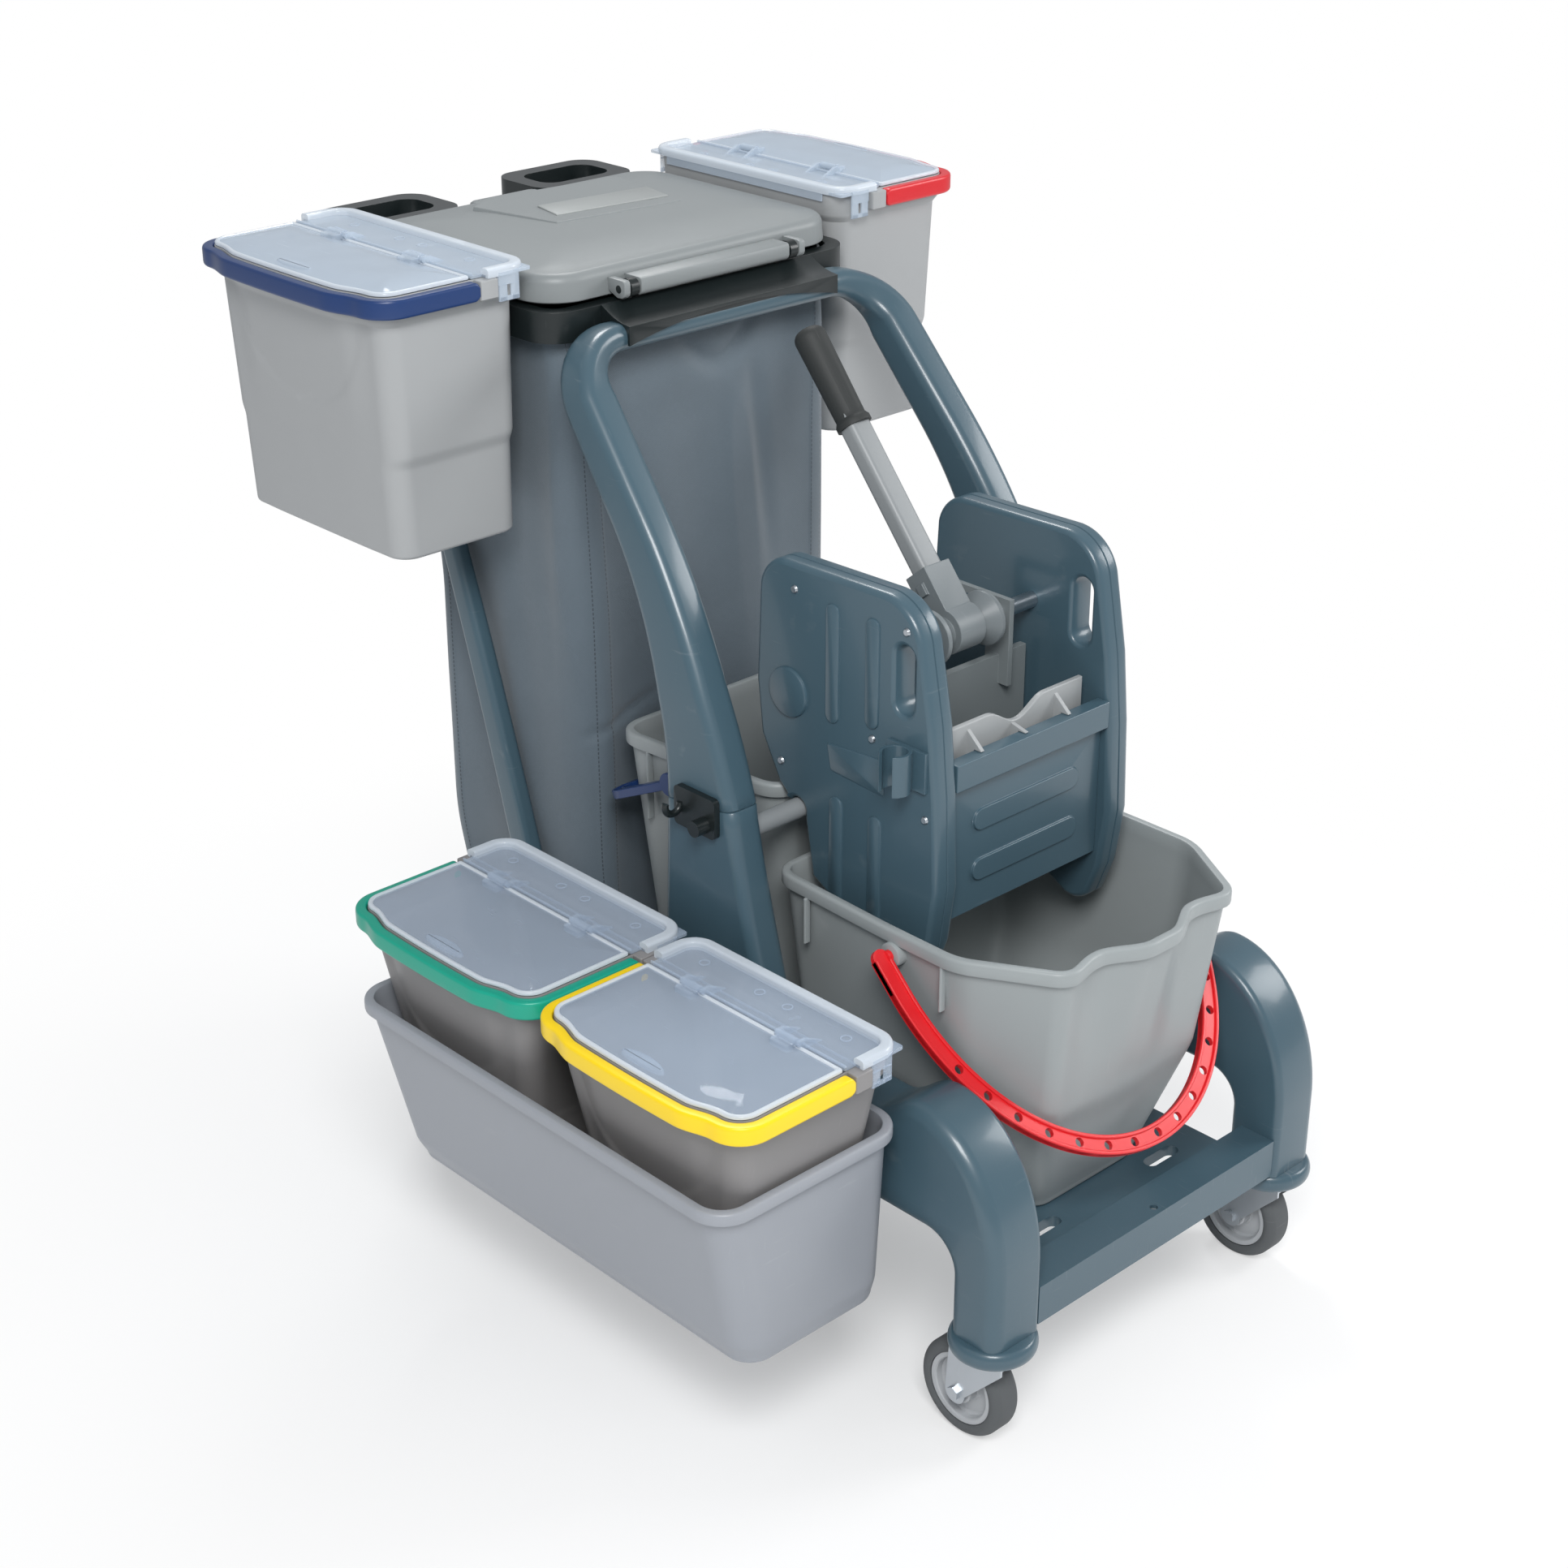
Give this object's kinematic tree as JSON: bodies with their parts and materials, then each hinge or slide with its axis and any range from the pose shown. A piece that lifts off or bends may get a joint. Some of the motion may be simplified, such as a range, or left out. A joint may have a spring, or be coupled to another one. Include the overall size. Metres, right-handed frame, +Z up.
{
  "type": "janitor cart",
  "caption": "Janitor cart on swivel casters with a lidded waste bag on a leaning arch, buckets with a lever mop wringer, and lidded caddy boxes on the frame and in a side tub.",
  "frame": {"origin": "middle of the box around the cart, on the floor", "axes": "+Z up, -Y the front where the mop bucket is, -X the side with the tub"},
  "size_m": [0.8645, 1.0525, 1.002],
  "materials": {
    "slate_plastic": "semi-gloss",
    "black_plastic": "matt",
    "grey_plastic": "semi-gloss",
    "pale_plastic": "semi-gloss",
    "bag_fabric": "coated cloth",
    "zinc_steel": "zinc plated",
    "rim_plastic": "satin",
    "tyre_rubber": "matt",
    "blue_plastic": "semi-gloss",
    "red_plastic": "semi-gloss",
    "green_plastic": "semi-gloss",
    "yellow_plastic": "semi-gloss",
    "clear_plastic": "clear"
  },
  "bodies": {
    "cart": {"platform": "slate_plastic", "rear_deck": "slate_plastic", "side_frames": "slate_plastic", "post_feet": "slate_plastic", "foot_bumpers": "slate_plastic", "caster_stems": "zinc_steel", "arch": "slate_plastic", "arch_cover": "black_plastic", "cross_tube": "zinc_steel", "rear_posts": "slate_plastic", "bag_frame": "black_plastic", "bag": "bag_fabric", "hook_plate": "black_plastic", "lid_hinge_pins": "black_plastic", "front_bucket": "grey_plastic", "rear_bucket": "grey_plastic"},
    "bag_lid_body": {"bag_lid": "grey_plastic"},
    "front_left_caster": {"front_left_fork": "zinc_steel"},
    "front_left_wheel": {"front_left_rim": "rim_plastic", "front_left_tyre": "tyre_rubber"},
    "front_right_caster": {"front_right_fork": "zinc_steel"},
    "front_right_wheel": {"front_right_rim": "rim_plastic", "front_right_tyre": "tyre_rubber"},
    "rear_left_caster": {"rear_left_fork": "zinc_steel"},
    "rear_left_wheel": {"rear_left_rim": "rim_plastic", "rear_left_tyre": "tyre_rubber"},
    "rear_right_caster": {"rear_right_fork": "zinc_steel"},
    "rear_right_wheel": {"rear_right_rim": "rim_plastic", "rear_right_tyre": "tyre_rubber"},
    "tub_body": {"tub": "pale_plastic"},
    "blue_box_body": {"blue_box": "grey_plastic", "blue_lid": "clear_plastic"},
    "blue_handle_body": {"blue_handle": "blue_plastic"},
    "blue_flap_body": {"blue_flap": "clear_plastic"},
    "red_box_body": {"red_box": "grey_plastic", "red_lid": "clear_plastic"},
    "red_handle_body": {"red_handle": "red_plastic"},
    "red_flap_body": {"red_flap": "clear_plastic"},
    "green_box_body": {"green_box": "grey_plastic", "green_lid": "clear_plastic"},
    "green_handle_body": {"green_handle": "green_plastic"},
    "green_flap_body": {"green_flap": "clear_plastic"},
    "yellow_box_body": {"yellow_box": "grey_plastic", "yellow_lid": "clear_plastic"},
    "yellow_handle_body": {"yellow_handle": "yellow_plastic"},
    "yellow_flap_body": {"yellow_flap": "clear_plastic"},
    "front_bail_body": {"front_bail": "red_plastic"},
    "rear_bail_body": {"rear_bail": "blue_plastic"},
    "wringer": {"wringer_left_plate": "slate_plastic", "wringer_right_plate": "slate_plastic", "wringer_front_panel": "slate_plastic", "front_jaw": "pale_plastic", "lever_shaft": "zinc_steel", "handle_clip": "slate_plastic", "plate_screws": "zinc_steel"},
    "lever": {"lever_hub": "grey_plastic", "lever_tube": "grey_plastic", "lever_grip": "black_plastic"},
    "press": {"press_plate": "pale_plastic"}
  },
  "joints": [
    {"name": "bag_lid_hinge", "type": "hinge", "parent": "cart", "child": "bag_lid_body", "pos_m": [0.04575, 0.11327, 0.96], "axis": [1, 0, 0], "range_deg": [0, 100]},
    {"name": "front_left_swivel", "type": "hinge", "parent": "cart", "child": "front_left_caster", "pos_m": [-0.16025, -0.48427, 0.11], "axis": [0, 0, 1], "continuous": true},
    {"name": "front_left_roll", "type": "hinge", "parent": "front_left_caster", "child": "front_left_wheel", "pos_m": [-0.16025, -0.45827, 0.05], "axis": [1, 0, 0], "continuous": true},
    {"name": "front_right_swivel", "type": "hinge", "parent": "cart", "child": "front_right_caster", "pos_m": [0.25175, -0.48427, 0.11], "axis": [0, 0, 1], "continuous": true},
    {"name": "front_right_roll", "type": "hinge", "parent": "front_right_caster", "child": "front_right_wheel", "pos_m": [0.25175, -0.45827, 0.05], "axis": [1, 0, 0], "continuous": true},
    {"name": "rear_left_swivel", "type": "hinge", "parent": "cart", "child": "rear_left_caster", "pos_m": [-0.16025, 0.30573, 0.11], "axis": [0, 0, 1], "continuous": true},
    {"name": "rear_left_roll", "type": "hinge", "parent": "rear_left_caster", "child": "rear_left_wheel", "pos_m": [-0.16025, 0.33173, 0.05], "axis": [1, 0, 0], "continuous": true},
    {"name": "rear_right_swivel", "type": "hinge", "parent": "cart", "child": "rear_right_caster", "pos_m": [0.25175, 0.30573, 0.11], "axis": [0, 0, 1], "continuous": true},
    {"name": "rear_right_roll", "type": "hinge", "parent": "rear_right_caster", "child": "rear_right_wheel", "pos_m": [0.25175, 0.33173, 0.05], "axis": [1, 0, 0], "continuous": true},
    {"name": "tub_lift", "type": "slide", "parent": "cart", "child": "tub_body", "axis": [0, 0, 1], "range_m": [0, 0.12]},
    {"name": "blue_box_lift", "type": "slide", "parent": "cart", "child": "blue_box_body", "axis": [0, 0, 1], "range_m": [0, 0.12]},
    {"name": "blue_handle_hinge", "type": "hinge", "parent": "blue_box_body", "child": "blue_handle_body", "pos_m": [-0.22815, 0.28727, 0.981], "axis": [0, 1, 0], "range_deg": [0, 90]},
    {"name": "blue_flap_hinge", "type": "hinge", "parent": "blue_box_body", "child": "blue_flap_body", "pos_m": [-0.22515, 0.28727, 0.9975], "axis": [0, 1, 0], "range_deg": [0, 110]},
    {"name": "red_box_lift", "type": "slide", "parent": "cart", "child": "red_box_body", "axis": [0, 0, 1], "range_m": [0, 0.12]},
    {"name": "red_handle_hinge", "type": "hinge", "parent": "red_box_body", "child": "red_handle_body", "pos_m": [0.31965, 0.28727, 0.981], "axis": [0, -1, 0], "range_deg": [0, 90]},
    {"name": "red_flap_hinge", "type": "hinge", "parent": "red_box_body", "child": "red_flap_body", "pos_m": [0.31665, 0.28727, 0.9975], "axis": [0, -1, 0], "range_deg": [0, 110]},
    {"name": "green_box_lift", "type": "slide", "parent": "tub_body", "child": "green_box_body", "axis": [0, 0, 1], "range_m": [0, 0.25]},
    {"name": "green_handle_hinge", "type": "hinge", "parent": "green_box_body", "child": "green_handle_body", "pos_m": [-0.29625, -0.00892, 0.4153], "axis": [0, 1, 0], "range_deg": [0, 90]},
    {"name": "green_flap_hinge", "type": "hinge", "parent": "green_box_body", "child": "green_flap_body", "pos_m": [-0.29325, -0.00892, 0.4318], "axis": [0, 1, 0], "range_deg": [0, 110]},
    {"name": "yellow_box_lift", "type": "slide", "parent": "tub_body", "child": "yellow_box_body", "axis": [0, 0, 1], "range_m": [0, 0.25]},
    {"name": "yellow_handle_hinge", "type": "hinge", "parent": "yellow_box_body", "child": "yellow_handle_body", "pos_m": [-0.29625, -0.28962, 0.4153], "axis": [0, 1, 0], "range_deg": [0, 90]},
    {"name": "yellow_flap_hinge", "type": "hinge", "parent": "yellow_box_body", "child": "yellow_flap_body", "pos_m": [-0.29325, -0.28962, 0.4318], "axis": [0, 1, 0], "range_deg": [0, 110]},
    {"name": "front_bail_hinge", "type": "hinge", "parent": "cart", "child": "front_bail_body", "pos_m": [0.04575, -0.31427, 0.4353], "axis": [-1, 0, 0], "range_deg": [0, 115]},
    {"name": "rear_bail_hinge", "type": "hinge", "parent": "cart", "child": "rear_bail_body", "pos_m": [0.04575, -0.01227, 0.5033], "axis": [1, 0, 0], "range_deg": [0, 115]},
    {"name": "wringer_lift", "type": "slide", "parent": "cart", "child": "wringer", "axis": [0, 0, 1], "range_m": [0, 0.15]},
    {"name": "lever_hinge", "type": "hinge", "parent": "wringer", "child": "lever", "pos_m": [0.04575, -0.22427, 0.682], "axis": [1, 0, 0], "range_deg": [0, 70]},
    {"name": "press_slide", "type": "slide", "parent": "wringer", "child": "press", "axis": [0, -1, 0], "range_m": [0, 0.045]}
  ],
  "couplings": [
    {"joint": "press_slide", "follows": "lever_hinge", "m_per_rad": 0.03683}
  ]
}
